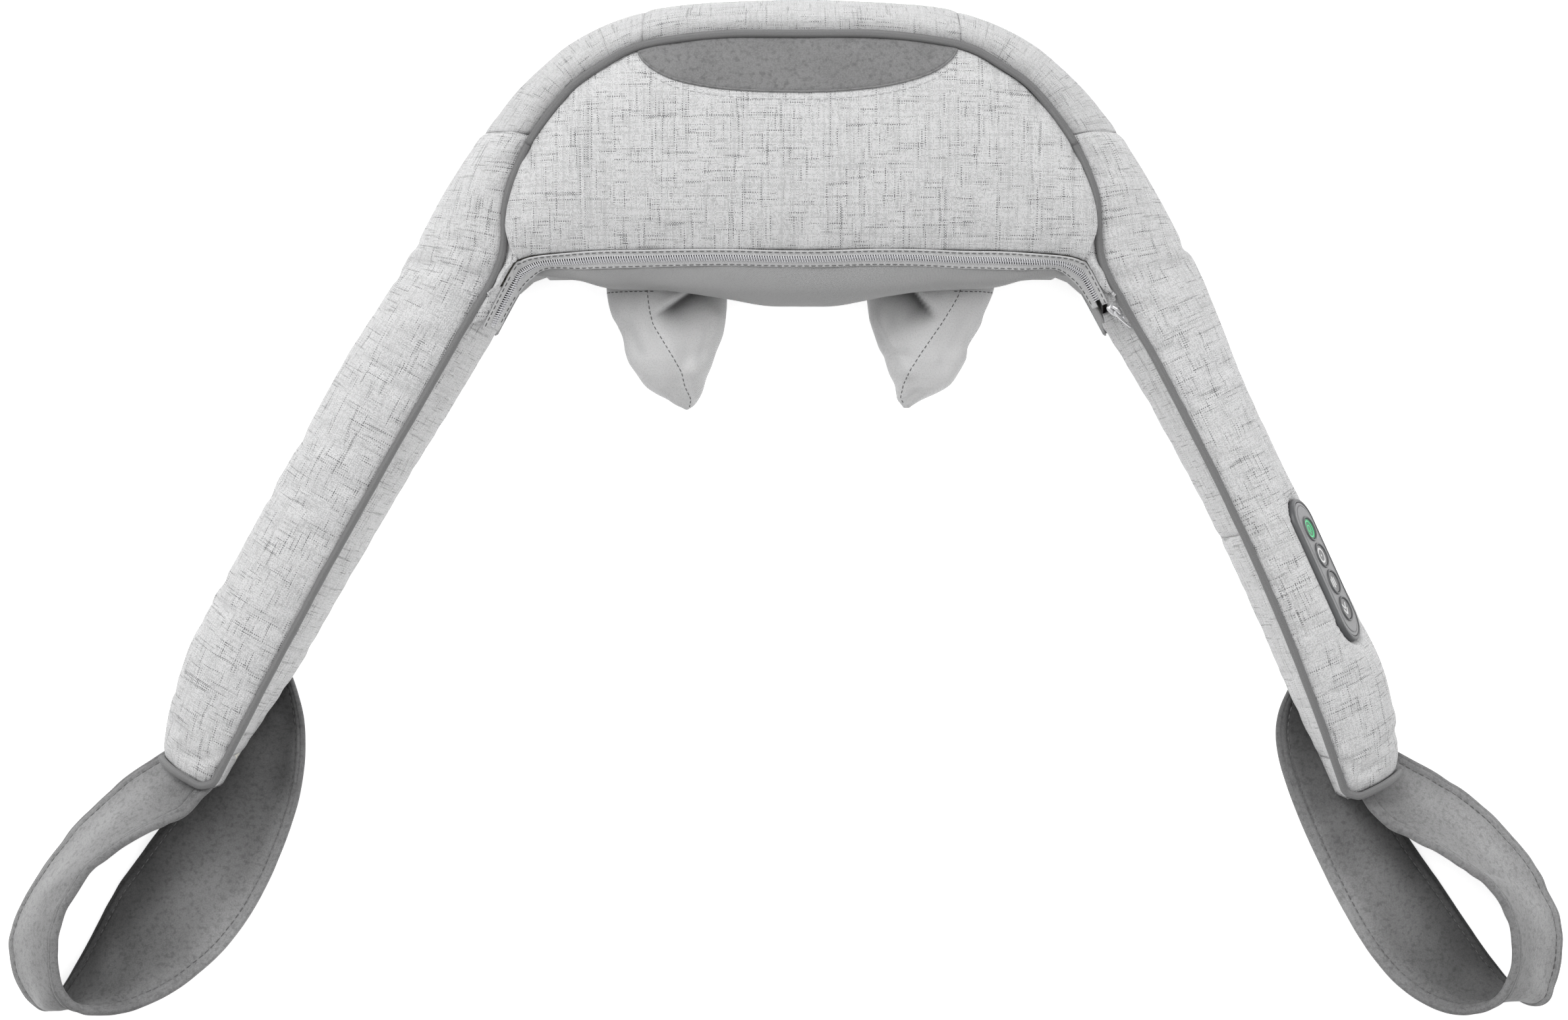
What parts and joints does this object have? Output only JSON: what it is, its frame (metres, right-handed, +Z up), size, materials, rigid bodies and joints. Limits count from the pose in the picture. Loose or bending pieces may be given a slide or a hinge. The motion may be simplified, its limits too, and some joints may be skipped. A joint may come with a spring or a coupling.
{
  "type": "shiatsu neck massager",
  "caption": "Cordless shiatsu neck massager with motor-driven kneading hands, padded U-shaped arms, hand loops and a push-button control panel.",
  "frame": {"origin": "on the flat underside of the head, on the centre line, level with the drive housing", "axes": "+Z up out of the top panel, +Y towards the back of the head, the hands reach along -Y, +X towards the arm that carries the control panel"},
  "size_m": [0.8145, 0.5234, 0.0969],
  "materials": {
    "linen": "melange woven cover, light grey",
    "suede": "dark grey suede cloth",
    "piping": "mid grey corded edge",
    "lining": "grey stretch lining",
    "nylon": "nylon zip",
    "zinc": "satin plated",
    "foam": "soft foam",
    "abs": "moulded",
    "steel": "ground",
    "pom": "moulded acetal",
    "bronze": "sintered bronze",
    "silicone": "matt silicone",
    "cell": "shrink sleeve",
    "pcb": "solder mask",
    "wire": "insulated wire",
    "panel_grey": "soft-touch moulded",
    "bezel_grey": "moulded",
    "key_green": "lit key",
    "key_grey": "moulded key"
  },
  "bodies": {
    "head": {"base_panel": "linen", "rear_band": "linen", "left_shoulder_band": "linen", "right_shoulder_band": "linen", "top_panel": "linen", "collar_patch": "suede", "front_lining": "lining", "head_piping": "piping", "zipper_tape": "nylon", "zipper_coil": "nylon", "top_foam_pad": "foam", "side_foam": "foam", "chassis_plate": "abs", "gearbox_lower_case": "abs", "gearbox_upper_case": "abs", "case_screws": "steel", "chassis_screws": "steel", "motor": "steel", "motor_end_cap": "abs", "shaft_bushings": "bronze", "bearing_pillars": "abs", "guide_posts": "steel", "battery_pack": "cell", "main_board": "pcb", "charging_port": "abs", "head_wiring": "wire"},
    "drive_train": {"drive_shaft": "steel", "worm_wheel": "pom", "shaft_clips": "steel", "left_wobble_bush": "pom", "right_wobble_bush": "pom"},
    "motor_rotor": {"motor_shaft": "steel", "worm": "pom"},
    "left_hand": {"left_hand_frame": "abs", "left_hub_bearing": "bronze", "left_hand_nodes": "silicone", "left_hand_sleeve": "lining"},
    "right_hand": {"right_hand_frame": "abs", "right_hub_bearing": "bronze", "right_hand_nodes": "silicone", "right_hand_sleeve": "lining"},
    "left_arm": {"left_arm_band": "linen", "left_arm_lining": "linen", "left_arm_piping": "piping", "left_arm_foam": "foam"},
    "right_arm": {"right_arm_band": "linen", "right_arm_lining": "linen", "right_arm_piping": "piping", "right_arm_foam": "foam", "panel_housing": "bezel_grey", "panel_fascia": "panel_grey", "panel_board": "pcb"},
    "left_loop": {"left_hand_loop": "suede"},
    "right_loop": {"right_hand_loop": "suede"},
    "zip_slider": {"zipper_slider": "zinc"},
    "zip_pull": {"zipper_pull": "zinc"},
    "power_key": {"power_button": "key_green"},
    "heat_key": {"heat_button": "key_grey"},
    "knead_key": {"knead_button": "key_grey"},
    "speed_key": {"speed_button": "key_grey"}
  },
  "joints": [
    {"name": "kneading_drive", "type": "hinge", "parent": "head", "child": "drive_train", "pos_m": [0, -0.014, 0.031], "axis": [1, 0, 0], "continuous": true},
    {"name": "motor_spin", "type": "hinge", "parent": "head", "child": "motor_rotor", "pos_m": [0, -0.014, 0.056], "axis": [0, 1, 0], "continuous": true},
    {"name": "left_hand_orbit", "type": "hinge", "parent": "drive_train", "child": "left_hand", "pos_m": [-0.07, -0.018, 0.031], "axis": [0.9962, 0.0872, 0], "continuous": true},
    {"name": "right_hand_orbit", "type": "hinge", "parent": "drive_train", "child": "right_hand", "pos_m": [0.07, -0.018, 0.031], "axis": [0.9962, -0.0872, 0], "continuous": true},
    {"name": "left_arm_droop", "type": "hinge", "parent": "head", "child": "left_arm", "pos_m": [-0.171, -0.088, 0.002], "axis": [0.8729, -0.4879, 0], "range_deg": [0, 35], "stiffness_Nm_per_rad": 8},
    {"name": "right_arm_droop", "type": "hinge", "parent": "head", "child": "right_arm", "pos_m": [0.171, -0.088, 0.002], "axis": [0.9107, 0.4131, 0], "range_deg": [0, 35], "stiffness_Nm_per_rad": 8},
    {"name": "left_loop_swing", "type": "hinge", "parent": "left_arm", "child": "left_loop", "pos_m": [-0.3165, -0.3195, 0.027], "axis": [-0.7427, -0.5248, 0.4159], "range_deg": [-4, 4], "stiffness_Nm_per_rad": 0.6},
    {"name": "right_loop_swing", "type": "hinge", "parent": "right_arm", "child": "right_loop", "pos_m": [0.3045, -0.3225, 0.027], "axis": [0.7471, -0.521, 0.4129], "range_deg": [-4, 4], "stiffness_Nm_per_rad": 0.6},
    {"name": "zip_travel", "type": "slide", "parent": "head", "child": "zip_slider", "axis": [0.689, -0.6204, -0.3746], "range_m": [-0.002, 0.003]},
    {"name": "zip_pull_flip", "type": "hinge", "parent": "zip_slider", "child": "zip_pull", "pos_m": [0.16012, -0.07953, 0.05776], "axis": [0.5966, 0.779, -0.1928], "range_deg": [-30, 10]},
    {"name": "power_key_press", "type": "slide", "parent": "right_arm", "child": "power_key", "axis": [-0.8041, -0.3647, -0.4695], "range_m": [0, 0.0009], "stiffness_N_per_m": 300},
    {"name": "heat_key_press", "type": "slide", "parent": "right_arm", "child": "heat_key", "axis": [-0.8041, -0.3647, -0.4695], "range_m": [0, 0.0009], "stiffness_N_per_m": 300},
    {"name": "knead_key_press", "type": "slide", "parent": "right_arm", "child": "knead_key", "axis": [-0.8041, -0.3647, -0.4695], "range_m": [0, 0.0009], "stiffness_N_per_m": 300},
    {"name": "speed_key_press", "type": "slide", "parent": "right_arm", "child": "speed_key", "axis": [-0.8041, -0.3647, -0.4695], "range_m": [0, 0.0009], "stiffness_N_per_m": 300}
  ],
  "couplings": [
    {"joint": "motor_spin", "follows": "kneading_drive", "ratio": 38},
    {"joint": "left_hand_orbit", "follows": "kneading_drive", "ratio": -1},
    {"joint": "right_hand_orbit", "follows": "kneading_drive", "ratio": -1}
  ]
}
